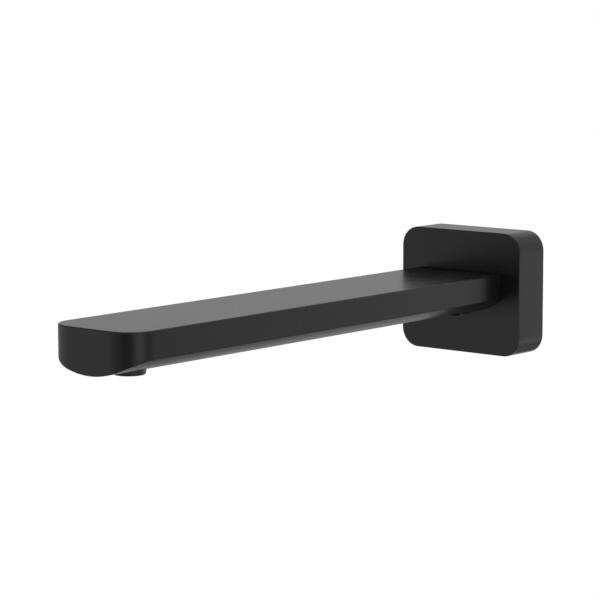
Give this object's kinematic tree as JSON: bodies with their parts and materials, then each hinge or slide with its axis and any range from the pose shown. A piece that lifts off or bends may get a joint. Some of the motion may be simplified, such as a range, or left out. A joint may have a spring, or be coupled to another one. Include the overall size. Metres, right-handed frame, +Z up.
{
  "type": "wall spout",
  "caption": "Flat black wall spout with an arched underside, a deep rectangular cover plate, a slip-on threaded inlet nipple and a small screw-in jet outlet.",
  "frame": {"origin": "middle of the cover plate's back, on the finished wall and on the inlet's axis", "axes": "+Z up, +Y into the wall along the pipe thread, +X to the right seen from the front of the spout; the spout reaches along -Y"},
  "size_m": [0.064, 0.263, 0.054],
  "materials": {
    "spout_body": "satin black stoved coating",
    "wall_plate": "satin black stoved coating",
    "outlet_nozzle": "satin black stoved coating",
    "nipple_brass": "turned",
    "screw_steel": "blackened steel",
    "seal_rubber": "moulded rubber",
    "gasket_foam": "closed-cell foam",
    "washer_fibre": "pressed fibre",
    "insert_plastic": "moulded"
  },
  "bodies": {
    "root": {"spout_body": "spout_body", "wall_plate": "wall_plate", "plate_ring_seal": "seal_rubber", "wall_gasket": "gasket_foam", "inlet_nipple": "nipple_brass", "inlet_washer": "washer_fibre", "spigot_ring_front": "seal_rubber", "spigot_ring_back": "seal_rubber", "clamp_screw": "screw_steel", "outlet_nozzle": "outlet_nozzle", "outlet_washer": "seal_rubber", "jet_straightener": "insert_plastic", "metering_disc": "insert_plastic", "outlet_strainer": "insert_plastic"}
  },
  "joints": []
}
